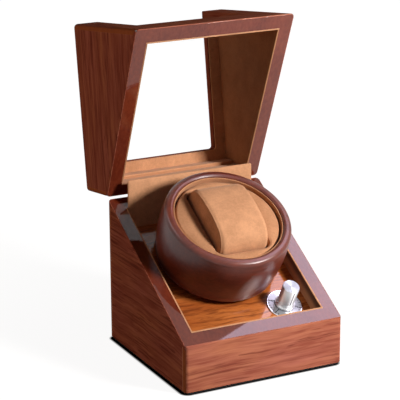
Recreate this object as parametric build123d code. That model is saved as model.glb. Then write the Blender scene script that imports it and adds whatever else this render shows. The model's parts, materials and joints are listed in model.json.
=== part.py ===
from build123d import *
import math
import os

# Driving dimensions in millimetres: X runs across, Y from the front to the back, Z up from the floor.
width = 150.0
depth = 150.0
height = 174.5
front_height = 42.1
back_height = 129.35
wall = 12.0
lipping = 3.0
lining = 1.2
edge_round = 3.5
top_round = 1.6
rim_round = 0.7
seam_gap = 0.4
felt_thick = 1.9
open_angle = 97.94
hinge_behind = 1.1

# The seam runs up from the front edge to the back one. Its frame has X across, Y up the slope, Z off it.
slope_angle = math.atan2(back_height - front_height, depth)
slope_normal = (0, -math.sin(slope_angle), math.cos(slope_angle))
slope = Plane(origin=(0, -depth / 2, front_height), x_dir=(1, 0, 0), z_dir=slope_normal)
hinge_centre = Vector(0, depth / 2 + hinge_behind, back_height)
hinge_axis = Axis(hinge_centre, (1, 0, 0))
hinge_run = slope.to_local_coords(hinge_centre).Y
hinge_rise = slope.to_local_coords(hinge_centre).Z

# Display deck, drum and cushion, as heights off the seam and runs up the slope.
deck_top = -15.0
deck_thick = 5.0
deck_under = deck_top - deck_thick
drum_run = 98.3
cushion_length = 72.0
cushion_height = 42.0
cushion_width = 50.0
cushion_middle = 33.0
plate_top = 34.0
plate_thick = 5.0
plate_seat = plate_top - plate_thick
cup_radius = 44.0
cup_floor = 10.8

# Drive train under the deck.
spindle_radius = 4.0
running_gap = 0.05
gear_module = 1.0
gear_teeth = 60
pinion_teeth = 15
gear_top = -21.5
gear_thick = 6.0
motor_plate_top = -29.4
motor_plate_thick = 1.6
motor_offset = gear_module * (gear_teeth + pinion_teeth) / 2
gearbox_radius = 12.5
gearbox_length = 17.0
can_radius = 12.1
can_length = 23.0
motor_shaft_radius = 2.0
spacer_reach = 28.0
bush_radius = 7.0
bush_top = -13.0
washer_thick = 1.0
hub_radius = 26.0
boss_radius = 8.0
groove_radius = 3.2

# Selector knob at the front right of the deck.
knob_across = 40.0
knob_run = 36.0
knob_radius = 7.4
knob_base_radius = 8.8
knob_top = 9.0
dial_radius = 16.0
dial_thick = 1.4
shaft_radius = 3.0
neck_radius = 3.6
nut_thick = 2.0
switch_half = 10.0
switch_deep = 12.0
terminal_length = 3.5

# Window in the lid: an opening through the top that runs on down the front.
window_half = 52.5
window_back = depth / 2 - 22.9
window_bottom = 90.0
window_corner = 3.0
frame_thick = 8.5
pane_thick = 2.0
pane_lap = 3.0
retainer_thick = 1.5
lip_top = 147.0
lip_half = 61.2
lip_corner = 1.6
lip_rebate = 2.4
facing_thick = 0.6

# Hinges, screws, inlet and board.
hinge_across = 42.0
hinge_width = 24.0
barrel_radius = 2.2
pin_radius = 1.0
leaf_thick = 1.0
leaf_depth = 10.5
hinge_screw = (2.1, 1.1, 8.0)
board_screw = (2.6, 1.4, 16.0)
plate_screw = (2.9, 1.5, 12.0)
hub_screw = (3.0, 1.5, 9.8)
jack_across = 40.0
jack_up = 24.0
jack_radius = 4.0
jack_length = 15.0
board_thick = 6.0
pcb_thick = 1.6
pcb_gap = 5.0
socket_height = 6.0
lead_radius = 1.2

reach = 600.0
inner = width / 2 - wall
lined = inner - lining
LOW = (Align.CENTER, Align.CENTER, Align.MIN)
HIGH = (Align.CENTER, Align.CENTER, Align.MAX)


def on_slope(shape):
    """Puts a shape that was drawn in the seam's frame in its place."""
    return shape.moved(slope.location)


def slab(low, high):
    """The space between two planes parallel to the seam, at these heights off it."""
    return on_slope(Pos(0, 0, low) * Box(reach, reach, high - low, align=LOW))


def block(x_low, x_high, y_low, y_high, z_low, z_high):
    """A box between two corners."""
    size = Box(x_high - x_low, y_high - y_low, z_high - z_low, align=(Align.MIN,) * 3)
    return Pos(x_low, y_low, z_low) * size


def disc(radius, low, high, across=0.0, run=0.0):
    """A cylinder between two heights."""
    return Pos(across, run, low) * Cylinder(radius, high - low, align=LOW)


def both_sides(shape):
    """A shape and its mirror image on the other side of the object."""
    return [shape, mirror(shape, Plane.YZ)]


def group(shapes):
    """Several like pieces in one node, each still its own solid."""
    return Compound([solid for shape in shapes for solid in shape.solids()])


def sector(side):
    """The quarter of the plan nearest one wall, up to its mitres: 0 front, 1 right, 2 back, 3 left."""
    wedge = extrude(Polygon((0, 0), (-reach, -reach), (reach, -reach), align=None), reach)
    return Rot(0, 0, 90 * side) * wedge


def open_lid(shape):
    """Swings a piece of the shut lid back to where the photograph shows it."""
    return shape.rotate(hinge_axis, -open_angle)


def screw_blank(head_radius, shank_radius, length):
    """A countersunk screw without its cross: its head's face is at the origin and it points down."""
    head_height = head_radius - shank_radius
    head = Pos(0, 0, -head_height) * Cone(shank_radius, head_radius, head_height, align=LOW)
    shank = disc(shank_radius, -length, -head_height)
    tip = Pos(0, 0, -length) * Cone(shank_radius, 0.3, shank_radius, align=LOW, rotation=(180, 0, 0))
    return head + shank + tip


def screw(head_radius, shank_radius, length):
    """A countersunk screw with a cross in its head."""
    slot = Box(head_radius * 1.1, head_radius * 0.22, shank_radius * 0.6, align=HIGH)
    return screw_blank(head_radius, shank_radius, length) - slot - Rot(0, 0, 90) * slot


def gear(teeth, thick, top, bore):
    """A spur gear with straight-flanked teeth, and play for a running mesh."""
    pitch = gear_module * teeth / 2
    pitch_angle = 2 * math.pi / teeth
    steps = [(pitch - 1.25 * gear_module, 0.35), (pitch, 0.222), (pitch + 0.93 * gear_module, 0.1)]
    points = []
    for tooth in range(teeth):
        centre = tooth * pitch_angle
        for radius, share in steps:
            angle = centre - share * pitch_angle
            points.append((radius * math.cos(angle), radius * math.sin(angle)))
        for radius, share in reversed(steps):
            angle = centre + share * pitch_angle
            points.append((radius * math.cos(angle), radius * math.sin(angle)))
    blank = extrude(Polygon(*points, align=None), thick)
    return Pos(0, 0, top - thick) * blank - disc(bore, top - thick, top)


def whole_block():
    """The shut winder's outer shape, with its upright and top edges rounded."""
    body = block(-width / 2, width / 2, -depth / 2, depth / 2, felt_thick, height)
    body = fillet(body.edges().filter_by(Axis.Z), edge_round)
    return fillet(body.faces().sort_by(Axis.Z)[-1].edges(), top_round)


def rim_ring(body, low, high, face):
    """The lipping glued along the cut edge of the four walls, its outer arris eased."""
    ring = body & slab(low, high)
    loop = [e for e in ring.edges() if abs(slope.to_local_coords(e.center()).Z - face) < 0.01]
    ring = fillet(loop, rim_round)
    return ring - block(-inner, inner, -inner, inner, 0, height + 1)


def mitred(ring):
    """The four strips of a ring of lipping."""
    return group([ring & sector(side) for side in range(4)])


def hinge_relief():
    """The room for the two hinge barrels, cut from both rims."""
    barrel = Cylinder(barrel_radius + 0.35, hinge_width + 0.8, rotation=(0, 90, 0))
    return both_sides(on_slope(Pos(hinge_across, hinge_run, hinge_rise) * barrel))


def leaf_plate(low, high):
    """The flat leaf of one hinge, let into a rim."""
    start = hinge_run - leaf_depth
    half = hinge_width / 2
    return block(hinge_across - half, hinge_across + half, start, hinge_run, low, high)


def knuckle(x_low, x_high, radius):
    """A length of hinge barrel, or of the pin in it."""
    length = Cylinder(radius, x_high - x_low, rotation=(0, 90, 0))
    return Pos(hinge_across + (x_low + x_high) / 2, hinge_run, hinge_rise) * length


def leaf_screw_places(height_off_seam):
    """Where the hinge screws go through a leaf."""
    run = hinge_run - 6.6
    return [Pos(hinge_across + shift, run, height_off_seam) for shift in (-7.5, 7.5)]


knuckle_end = hinge_width / 2
knuckle_cut = 4.7
knuckle_play = 0.25


def case_leaf():
    """The lower hinge leaf: a plate with the two outer knuckles."""
    plate = leaf_plate(-leaf_thick, 0)
    room = knuckle(-knuckle_cut - knuckle_play, knuckle_cut + knuckle_play, barrel_radius + 0.3)
    leaf = plate - room
    leaf += knuckle(knuckle_cut + knuckle_play, knuckle_end, barrel_radius)
    leaf += knuckle(-knuckle_end, -knuckle_cut - knuckle_play, barrel_radius)
    leaf -= knuckle(-knuckle_end, knuckle_end, pin_radius)
    for place in leaf_screw_places(0):
        leaf -= place * screw_blank(*hinge_screw)
    return leaf


def lid_leaf():
    """The upper hinge leaf: a plate with the middle knuckle, which turns on the pin."""
    plate = leaf_plate(seam_gap, seam_gap + leaf_thick)
    plate -= knuckle(knuckle_cut, knuckle_end + 1, barrel_radius + 0.3)
    plate -= knuckle(-knuckle_end - 1, -knuckle_cut, barrel_radius + 0.3)
    leaf = plate + knuckle(-knuckle_cut, knuckle_cut, barrel_radius)
    leaf -= knuckle(-knuckle_end, knuckle_end, pin_radius + running_gap)
    for place in leaf_screw_places(seam_gap):
        leaf -= place * Rot(180, 0, 0) * screw_blank(*hinge_screw)
    return leaf


# Case: four mitred walls, their lipping, and the board and felt that close the underside.
shell = whole_block()
cavity = block(-inner, inner, -inner, inner, 0, height + 1)
board_half = inner + wall / 2
board_recess = block(-board_half, board_half, -board_half, board_half, 0, felt_thick + board_thick)
case_walls = (shell & slab(-reach / 2, -lipping)) - cavity - board_recess
case_rim = rim_ring(shell, -lipping, 0, 0)
screw_reach = inner + 3.0
board_screw_spots = [(x, y) for x in (-screw_reach, screw_reach) for y in (-40, 40)]
board_screw_blanks = [Pos(x, y, felt_thick) * Rot(180, 0, 0) * screw_blank(*board_screw)
                      for x, y in board_screw_spots]
jack_line = Pos(jack_across, 0, jack_up)
jack_hole = jack_line * Cylinder(jack_radius, reach, rotation=(90, 0, 0))
jack_room = jack_line * Pos(0, inner, 0) * Cylinder(jack_radius + 3.5, 18, rotation=(90, 0, 0))
leaf_blanks = both_sides(on_slope(leaf_plate(-leaf_thick, 1)))
case_leaf_screws = [on_slope(place * screw_blank(*hinge_screw)) for place in leaf_screw_places(0)]
lid_leaf_screws = [on_slope(place * Rot(180, 0, 0) * screw_blank(*hinge_screw))
                   for place in leaf_screw_places(seam_gap)]


def both_sides_of_all(shapes):
    """A list of shapes with their mirror images."""
    return [copy for shape in shapes for copy in both_sides(shape)]


case_hinge_cuts = hinge_relief() + leaf_blanks + both_sides_of_all(case_leaf_screws)
case_rim = case_rim - case_hinge_cuts
parts = {}
parts["case_front"] = case_walls & sector(0)
parts["case_right_side"] = (case_walls & sector(1)) - board_screw_blanks
back_wall = (case_walls & sector(2)) - case_hinge_cuts
parts["case_back"] = back_wall - jack_hole - jack_room
parts["case_left_side"] = (case_walls & sector(3)) - board_screw_blanks
parts["case_rim_lipping"] = mitred(case_rim)
board = block(-board_half, board_half, -board_half, board_half, felt_thick, felt_thick + board_thick)
parts["bottom_board"] = board - board_screw_blanks
parts["bottom_screws"] = group([Pos(x, y, felt_thick) * Rot(180, 0, 0) * screw(*board_screw)
                                for x, y in board_screw_spots])
felt_half = width / 2 - 1.3
felt = block(-felt_half, felt_half, -felt_half, felt_half, 0, felt_thick)
parts["base_felt"] = fillet(felt.edges().filter_by(Axis.Z), 2.6)


# Display deck on two battens, with the suede-faced boards that line the walls above it.
def deck():
    """The veneered deck, its edges cut upright to meet the walls."""
    panel = slab(deck_under, deck_top) & cavity
    bush_hole = disc(bush_radius, deck_under - 1, deck_top + 1, 0, drum_run)
    knob_hole = disc(neck_radius, deck_under - 1, deck_top + 1, knob_across, knob_run)
    return panel - on_slope(bush_hole + knob_hole)


def batten():
    """One batten glued to a side wall under the deck."""
    strip = block(-inner, -inner + 6.5, -inner + 4, inner - 4, 0, height)
    return strip & slab(deck_under - 8, deck_under)


def lip_board():
    """The padded board behind the deck: it stands above the rim and covers the hinge gap."""
    board = block(-lip_half, lip_half, lined, inner, front_height, lip_top)
    corners = [e for e in board.edges().filter_by(Axis.Y) if e.center().Z > lip_top - 1]
    board = fillet(corners, lip_corner)
    crest = [e for e in board.edges() if e.center().Z > lip_top - lip_corner - 0.5 and e.length > 1.5]
    board = fillet([e for e in crest if abs(e.center().Y - lined) < 0.01], 0.8)
    return board & slab(deck_top, reach / 2)


parts["deck"] = deck()
parts["deck_battens"] = group(both_sides(batten()))
side_board = block(-inner, -lined, -inner, inner, 0, height) & slab(deck_top, 0)
front_board = block(-lined, lined, -inner, -lined, 0, height) & slab(deck_top, 0)
parts["case_linings"] = group(both_sides(side_board) + [front_board])
parts["back_lip_board"] = lip_board()


# Drum: a turned wooden shell with a suede-lined mouth, on an aluminium hub and a steel spindle.
def turned(profile):
    """Turns a closed outline of radius and height about the drum's axis."""
    face = make_face(Plane.XZ * profile)
    return on_slope(Pos(0, drum_run, 0) * revolve(face, Axis.Z))


mouth_radius = 48.3
shell_under = -12.8
web_under = 3.0
skirt_radius = 38.0
hub_thick = 3.0
lower_bush_low = motor_plate_top - 3.7
lower_bush_top = motor_plate_top + 1.0
gear_boss_low = lower_bush_top + 0.3
clip_top = lower_bush_low - 0.3
clip_low = clip_top - 0.9


def drum_shell():
    """The turned shell: rounded lip, slight belly, and a web that carries the cushion."""
    outline = Polyline((mouth_radius, 38.6), (mouth_radius, plate_seat), (cup_radius, plate_seat),
                       (cup_radius, cup_floor), (0, cup_floor), (0, web_under),
                       (skirt_radius, web_under), (skirt_radius, shell_under), (49.4, shell_under))
    foot = ThreePointArc((49.4, shell_under), (52.8, -10.6), (54.4, -5.0))
    belly = ThreePointArc((54.4, -5.0), (56.9, 16.0), (56.2, 35.6))
    shoulder = ThreePointArc((56.2, 35.6), (55.1, 38.6), (52.2, 39.9))
    lip = ThreePointArc((52.2, 39.9), (49.6, 39.8), (mouth_radius, 38.6))
    return turned(outline + foot + belly + shoulder + lip)


def hub():
    """The hub that joins the shell to the spindle."""
    flange = disc(hub_radius, web_under - hub_thick, web_under)
    boss = disc(boss_radius, bush_top + washer_thick + 0.3, web_under - hub_thick)
    return flange + boss - disc(spindle_radius, bush_top, web_under)


def spindle():
    """The steel spindle with a groove for its clip."""
    rod = disc(spindle_radius, clip_low - 1.7, web_under)
    groove = disc(spindle_radius + 1, clip_low, clip_top) - disc(groove_radius, clip_low, clip_top)
    return rod - groove


def clip():
    """An open clip that sits in the spindle's groove."""
    ring = disc(bush_radius, clip_low, clip_top) - disc(groove_radius, clip_low, clip_top)
    return ring - block(-2.4, 2.4, -8, 0, clip_low - 1, clip_top + 1)


def cushion_section(offset, inset):
    """An oval of four arcs across the cushion, as far in from its full size as inset says."""
    half_run = cushion_length / 2 - inset
    half_rise = cushion_height / 2 - inset
    end_radius = half_rise * 0.92
    flat = half_run - end_radius
    crown_radius = (flat ** 2 + half_rise ** 2 - end_radius ** 2) / (2 * (half_rise - end_radius))
    lean = math.atan2(flat, crown_radius - half_rise)
    knee = (flat + end_radius * math.sin(lean), end_radius * math.cos(lean))
    top = ThreePointArc((-knee[0], knee[1]), (0, half_rise), knee)
    end = ThreePointArc(knee, (half_run, 0), (knee[0], -knee[1]))
    under = ThreePointArc((knee[0], -knee[1]), (0, -half_rise), (-knee[0], -knee[1]))
    start = ThreePointArc((-knee[0], -knee[1]), (-half_run, 0), (-knee[0], knee[1]))
    plane = Plane(origin=(offset, drum_run, cushion_middle), x_dir=(0, 1, 0), z_dir=(1, 0, 0))
    return plane * make_face(top + end + under + start)


def cushion():
    """The oval cushion: a crowned band between two padded ends that draw in to their seams."""
    half = cushion_width / 2
    steps = [(half, 11.0), (half - 0.5, 6.0), (half - 1.3, 2.0), (half - 2.0, 0.8), (half - 3.4, 0.2),
             (half - 8.0, -0.25), (half - 16.0, -0.45)]
    places = [(-offset, inset) for offset, inset in steps] + [(0, -0.5)]
    places += [(offset, inset) for offset, inset in reversed(steps)]
    sections = [cushion_section(offset, inset) for offset, inset in places]
    return loft(sections, ruled=True)


slot_half_run = 37.2
slot_half_across = 25.6


def cushion_plate():
    """The padded plate in the drum's mouth, with the slot that holds the cushion."""
    plate = disc(45.6, plate_seat, plate_top)
    plate = fillet(plate.edges().sort_by(Axis.Z)[-1], 1.8)
    slot = extrude(RectangleRounded(2 * slot_half_across, 2 * slot_half_run, 7), 20)
    return plate - Pos(0, 0, plate_seat - 5) * slot


def liner_ring():
    """The suede-faced ring that lines the mouth."""
    ring = disc(mouth_radius, plate_seat, 38.5) - disc(47.2, plate_seat, 38.5)
    return fillet(ring.edges().group_by(Axis.Z)[-1], 0.45)


def on_drum(shape):
    """Puts a shape drawn about the drum's axis in its place."""
    return on_slope(Pos(0, drum_run, 0) * shape)


hub_screw_spots = [(18 * math.cos(a), 18 * math.sin(a)) for a in (math.radians(45 + 90 * k) for k in range(4))]
hub_screw_blanks = [Pos(x, y, cup_floor) * screw_blank(*hub_screw) for x, y in hub_screw_spots]
hub_screws = [Pos(x, y, cup_floor) * screw(*hub_screw) for x, y in hub_screw_spots]
parts["drum_shell"] = drum_shell() - [on_drum(blank) for blank in hub_screw_blanks]
parts["drum_hub"] = on_drum(hub() - hub_screw_blanks)
parts["hub_screws"] = group([on_drum(piece) for piece in hub_screws])
parts["spindle"] = on_drum(spindle())
parts["spindle_clip"] = on_drum(clip())
parts["spindle_gear"] = on_drum(gear(gear_teeth, gear_thick, gear_top, spindle_radius)
                                + disc(boss_radius, gear_boss_low, gear_top - gear_thick)
                                - disc(spindle_radius, gear_boss_low, gear_top))
parts["liner_ring"] = on_drum(liner_ring())
parts["cushion_plate"] = on_drum(cushion_plate())
parts["watch_cushion"] = on_slope(cushion())


# Drive: two bushes for the spindle, and a geared motor on a steel plate that hangs under the deck.
motor_plate_low = motor_plate_top - motor_plate_thick
gearbox_boss = 4.5
shaft_buried = 8.0
can_top = motor_plate_low - gearbox_length
can_low = can_top - can_length
can_cap = 2.0
spacer_spots = [(x, y) for x in (-spacer_reach, spacer_reach) for y in (-spacer_reach, spacer_reach)]
plate_screw_places = [Pos(x, y, motor_plate_low) * Rot(180, 0, 0) for x, y in spacer_spots]
plate_screw_blanks = [place * screw_blank(*plate_screw) for place in plate_screw_places]


def motor_plate():
    """The steel plate that carries the lower bush and the motor."""
    edge = spacer_reach + 8
    plate = block(-motor_offset - 16.5, edge, -edge, edge, motor_plate_low, motor_plate_top)
    plate = fillet(plate.edges().filter_by(Axis.Z), 5)
    plate -= disc(bush_radius, motor_plate_low, motor_plate_top)
    plate -= disc(gearbox_boss, motor_plate_low, motor_plate_top, -motor_offset, 0)
    return plate - plate_screw_blanks


def gearbox():
    """The gearbox of the motor, with its boss and the bore for its shaft."""
    body = disc(gearbox_radius, can_top, motor_plate_low) + disc(gearbox_boss, motor_plate_low, motor_plate_top)
    body -= disc(motor_shaft_radius + running_gap, motor_plate_low - shaft_buried, motor_plate_top)
    return Pos(-motor_offset, 0, 0) * body


def motor_can():
    """The motor's can with its end cap and two terminals."""
    body = disc(can_radius, can_low, can_top) + disc(5, can_low - can_cap, can_low)
    body = fillet(body.edges().filter_by(GeomType.CIRCLE).sort_by(Axis.Z)[2:3], 1.2)
    for side in (-8, 8):
        body += block(side - 0.4, side + 0.4, -1.4, 1.4, can_low - 3, can_low)
    return Pos(-motor_offset, 0, 0) * body


spindle_hole = disc(spindle_radius + running_gap, lower_bush_low, bush_top + washer_thick)
upper_bush = disc(12, deck_top, bush_top) + disc(bush_radius, deck_under, deck_top)
lower_bush = disc(9, motor_plate_top, lower_bush_top) + disc(bush_radius, lower_bush_low, motor_plate_top)
parts["thrust_washer"] = on_drum(disc(boss_radius, bush_top, bush_top + washer_thick) - spindle_hole)
parts["upper_bush"] = on_drum(upper_bush - spindle_hole)
parts["lower_bush"] = on_drum(lower_bush - spindle_hole)
parts["motor_plate"] = on_drum(motor_plate())
spacers = [disc(4.5, motor_plate_top, deck_under, x, y) for x, y in spacer_spots]
parts["plate_spacers"] = group([on_drum(spacer - plate_screw_blanks) for spacer in spacers])
plate_screws = [place * screw(*plate_screw) for place in plate_screw_places]
parts["deck"] = parts["deck"] - [on_drum(blank) for blank in plate_screw_blanks]
parts["plate_screws"] = group([on_drum(piece) for piece in plate_screws])
parts["motor_gearbox"] = on_drum(gearbox())
parts["motor_can"] = on_drum(motor_can())
motor_shaft = disc(motor_shaft_radius, motor_plate_low - shaft_buried + 0.5, gear_top + 0.3, -motor_offset, 0)
parts["motor_shaft"] = on_drum(motor_shaft)
half_tooth = 180 / pinion_teeth
pinion = Rot(0, 0, half_tooth) * gear(pinion_teeth, gear_thick, gear_top, motor_shaft_radius)
parts["motor_pinion"] = on_drum(Pos(-motor_offset, 0, 0) * pinion)


# Selector: a rotary switch under the deck, its nut and dial above, and a turned aluminium knob.
def at_knob(shape):
    """Puts a shape drawn about the knob's axis in its place."""
    return on_slope(Pos(knob_across, knob_run, 0) * shape)


dial_top = deck_top + dial_thick
shaft_top = knob_top - 5
nut_top = dial_top + nut_thick


switch_low = deck_under - switch_deep


def selector_switch():
    """The switch: a square body, a threaded neck through the deck, and its terminals."""
    body = block(-switch_half, switch_half, -switch_half, switch_half, switch_low, deck_under)
    neck = disc(neck_radius, deck_under, nut_top + 0.6)
    pins = [block(x - 0.4, x + 0.4, -0.8, 0.8, switch_low - terminal_length, switch_low) for x in (-6, -2, 2, 6)]
    switch = body + neck + pins
    return switch - disc(shaft_radius + running_gap, deck_under - 6, nut_top + 1)


def dial():
    """The dial: a thin turned disc with a bevelled edge."""
    plate = disc(dial_radius, deck_top, dial_top) - disc(neck_radius, deck_top, dial_top)
    return chamfer(plate.edges().filter_by(GeomType.CIRCLE).sort_by(SortBy.RADIUS)[-1:], 0.5)


def selector_nut():
    """The hexagon nut that clamps the switch to the deck."""
    nut = extrude(Pos(0, 0, dial_top) * RegularPolygon(5.6, 6), nut_thick)
    return nut - disc(neck_radius, dial_top, nut_top)


def knob():
    """The knob: a plain barrel on a flared foot, hollow below to clear the nut."""
    foot = dial_top + 0.6
    hollow = neck_radius + 3
    ceiling = nut_top + 1.6
    outline = Polyline((0, knob_top), (knob_radius - 0.5, knob_top), (knob_radius, knob_top - 0.5),
                       (knob_radius, foot + 4.2))
    flare = ThreePointArc((knob_radius, foot + 4.2), (knob_radius + 0.35, foot + 2.4),
                          (knob_base_radius, foot + 1.2))
    base = Polyline((knob_base_radius, foot + 1.2), (knob_base_radius, foot), (hollow, foot),
                    (hollow, ceiling), (shaft_radius, ceiling), (shaft_radius, shaft_top), (0, shaft_top),
                    (0, knob_top))
    return revolve(make_face(Plane.XZ * (outline + flare + base)), Axis.Z)


parts["selector_switch"] = at_knob(selector_switch())
parts["dial_plate"] = at_knob(dial())
parts["selector_nut"] = at_knob(selector_nut())
parts["selector_knob"] = at_knob(knob())
parts["selector_shaft"] = at_knob(disc(shaft_radius, deck_under - 5.5, shaft_top))


# Electrics: the inlet in the back wall, the control board on its standoffs, and three leads.
def dc_jack():
    """The inlet: a flanged barrel with a blind bore and a centre pin."""
    back = depth / 2
    flange_thick = 1.4
    outer = back + flange_thick
    bore_depth = 9.5
    barrel = Cylinder(jack_radius, jack_length, rotation=(90, 0, 0), align=LOW)
    flange = Cylinder(jack_radius + 1.8, flange_thick, rotation=(90, 0, 0), align=LOW)
    bore = Cylinder(2.8, bore_depth, rotation=(90, 0, 0), align=LOW)
    pin = Cylinder(1.0, bore_depth - 0.5, rotation=(90, 0, 0), align=LOW)
    body = Pos(0, outer, 0) * flange + Pos(0, back, 0) * barrel
    body = body - Pos(0, outer, 0) * bore + Pos(0, outer - 0.6, 0) * pin
    return jack_line * body


board_top = felt_thick + board_thick
pcb_low = board_top + pcb_gap
pcb_top = pcb_low + pcb_thick
socket_top = pcb_top + socket_height
pcb_box = (-4.0, 52.0, -12.0, 24.0)
standoff_spots = [(x, y) for x in (pcb_box[0] + 4, pcb_box[1] - 4) for y in (pcb_box[2] + 4, pcb_box[3] - 4)]
jack_socket = (jack_across, 18.0)
motor_socket = (10.0, -7.0)
switch_socket = (knob_across - 2, -7.0)


def control_board():
    """The board with its chip, two capacitors and three sockets for the leads."""
    pcb = block(*pcb_box, pcb_low, pcb_top)
    pcb += block(14, 26, -2, 6, pcb_top, pcb_top + 1.6)
    for y in (3, 12):
        pcb += disc(3, pcb_top, pcb_top + 8, 6, y)
    for x, y in (jack_socket, motor_socket, switch_socket):
        pcb += block(x - 4, x + 4, y - 3, y + 3, pcb_top, socket_top)
    for x, y in standoff_spots:
        pcb -= disc(1.5, pcb_low, pcb_top, x, y)
    return pcb


def standoff(x, y):
    """A standoff that snaps through a hole in the board."""
    return disc(3, board_top, pcb_low, x, y) + disc(1.5, pcb_low, pcb_top + 1.2, x, y)


def lead(points):
    """A lead along straight runs joined by the largest arcs that its runs allow."""
    arcs = []
    for before, corner, after in zip(points, points[1:], points[2:]):
        first = Vector(*corner) - Vector(*before)
        second = Vector(*after) - Vector(*corner)
        turn = math.radians(first.get_angle(second))
        arcs.append(0.45 * min(first.length, second.length) / math.tan(turn / 2))
    path = FilletPolyline(*points, radius=arcs)
    start = Plane(origin=path @ 0, z_dir=path % 0)
    tube = sweep(start * Circle(lead_radius), path=path)
    print("lead", round(path.length, 1), "mm, volume", round(tube.volume, 1), "against",
          round(path.length * math.pi * lead_radius ** 2, 1), "radii", [round(r, 1) for r in arcs])
    return tube


def slope_point(across, run, rise):
    """A point of the seam's frame as a point of the object."""
    return tuple(slope.from_local_coords(Vector(across, run, rise)))


jack_end = depth / 2 - jack_length
jack_route = [(jack_across, jack_end, jack_up), (jack_across, jack_end - 12, jack_up),
              (jack_across, jack_end - 26, jack_up + 12), (*jack_socket, jack_up + 14), (*jack_socket, socket_top)]
motor_route = [slope_point(-motor_offset, drum_run, can_low - can_cap),
               slope_point(-motor_offset, drum_run, can_low - can_cap - 9), (-31, 42, 13), (-18, 26, 14),
               (-2, 9, 26), (*motor_socket, socket_top + 15), (*motor_socket, socket_top)]
switch_x, switch_y = switch_socket
socket_mid = pcb_top + socket_height / 2
switch_route = [slope_point(switch_x, knob_run, switch_low - terminal_length),
                slope_point(switch_x, knob_run, switch_low - terminal_length - 9),
                (switch_x, switch_y - 10, socket_mid), (switch_x, switch_y - 3, socket_mid)]
parts["dc_jack"] = dc_jack()
parts["control_board"] = control_board()
parts["board_standoffs"] = group([standoff(x, y) for x, y in standoff_spots])
parts["board_leads"] = group([lead(route) for route in (jack_route, motor_route, switch_route)])


# Lid, drawn shut and then swung open: walls and lipping, window frame, panes and linings.
lid_block = shell & slab(seam_gap + lipping, reach / 2)
lid_walls = lid_block - cavity
frame_low = height - frame_thick
top_zone = extrude(Pos(0, 0, height) * Rectangle(width, depth), -20, taper=45) & shell


def window_cut(grow=0.0):
    """The opening through the top and down the front, larger all round by grow."""
    half = window_half + grow
    back = window_back + grow
    through = block(-half, half, -depth, back, window_bottom - grow, height + 1)
    corners = [e for e in through.edges().filter_by(Axis.Z) if e.center().Y > 0]
    return fillet(corners, window_corner + grow)


pane_top = frame_low + pane_thick
pane_front = -depth / 2 + frame_thick - pane_thick
pane_half = window_half + pane_lap
top_pane = block(-pane_half, pane_half, pane_front, window_back + pane_lap, frame_low, pane_top)
front_pane = block(-pane_half, pane_half, pane_front, pane_front + pane_thick,
                   window_bottom - pane_lap, frame_low)
panes = top_pane + front_pane

lid_hinge_cuts = hinge_relief() + both_sides(on_slope(leaf_plate(-1, seam_gap + leaf_thick)))
lid_hinge_cuts += both_sides_of_all(lid_leaf_screws)
lip_room = block(-lip_half - 1.2, lip_half + 1.2, inner - 1, inner + lip_rebate, 0, lip_top + 3)
below_window = block(-reach, reach, -reach, reach, 0, window_bottom)
above_window = block(-reach, reach, -reach, reach, window_bottom, height + 1)
outer_skin = block(-reach, reach, -reach, -depth / 2 + frame_thick, 0, height + 1)
front_sector = lid_walls & sector(0)
front_rail = (front_sector & below_window) - panes
front_stiles = ((front_sector & above_window & outer_skin) - top_zone) - window_cut() - panes
top_frame = (lid_block & top_zone & block(-reach, reach, -reach, reach, frame_low, height + 1))
top_frame = top_frame - window_cut() - panes
back_rail = (lid_walls & sector(2)) - top_zone - lid_hinge_cuts - lip_room
window_strip = block(-window_half, window_half, -reach, reach, 0, height + 1)
side_strip = block(inner, width, -depth, depth, 0, height + 1)
right_side = (lid_walls & side_strip) - [front_rail, front_stiles, top_frame, lid_walls & sector(2)]
lid_rim = rim_ring(shell, seam_gap, seam_gap + lipping, seam_gap) - lid_hinge_cuts - lip_room
lid_pieces = {}
lid_pieces["lid_right_side"] = right_side
lid_pieces["lid_left_side"] = mirror(right_side, Plane.YZ)
lid_pieces["lid_back"] = back_rail
lid_pieces["lid_front_rail"] = front_rail
lid_pieces["lid_top_stiles"] = group([top_frame - window_strip])
lid_pieces["lid_front_stiles"] = group([front_stiles])
lid_pieces["lid_top_rail"] = top_frame & window_strip
lid_pieces["lid_rim_lipping"] = mitred(lid_rim)
lid_pieces["top_pane"] = top_pane
lid_pieces["front_pane"] = front_pane

retainer_low = frame_low - retainer_thick
retainer_front = -depth / 2 + frame_thick
top_retainer = block(-inner, inner, retainer_front, inner, retainer_low, frame_low) - window_cut()
top_retainer_strips = [top_retainer & window_strip, top_retainer - window_strip]
front_retainer = block(-inner, inner, retainer_front, retainer_front + retainer_thick,
                       window_bottom, retainer_low) - window_cut()
lid_pieces["pane_retainers"] = group(top_retainer_strips + [front_retainer])
seam_side = slab(seam_gap, reach / 2)
side_lining = block(lined, inner, retainer_front, inner, 0, retainer_low) & seam_side
side_lining = side_lining - block(0, inner, -inner, -lined, 0, window_bottom) - front_rail
side_lining = side_lining - block(0, inner, -depth, -inner, 0, window_bottom) - front_retainer
lid_pieces["lid_side_linings"] = group(both_sides(side_lining))
lid_pieces["lid_front_lining"] = block(-inner, inner, -inner, -lined, 0, window_bottom) & seam_side
back_facing = block(-lip_half - 1.2, lip_half + 1.2, inner + lip_rebate - facing_thick, inner + lip_rebate,
                    0, lip_top + 3)
back_facing = (back_facing & shell & slab(seam_gap, reach / 2)) - lid_hinge_cuts
back_board = block(-lined, lined, lined, inner, lip_top + 3, retainer_low)
lid_pieces["lid_back_lining"] = group([back_board, back_facing])

for name, piece in lid_pieces.items():
    parts[name] = open_lid(piece)

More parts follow.
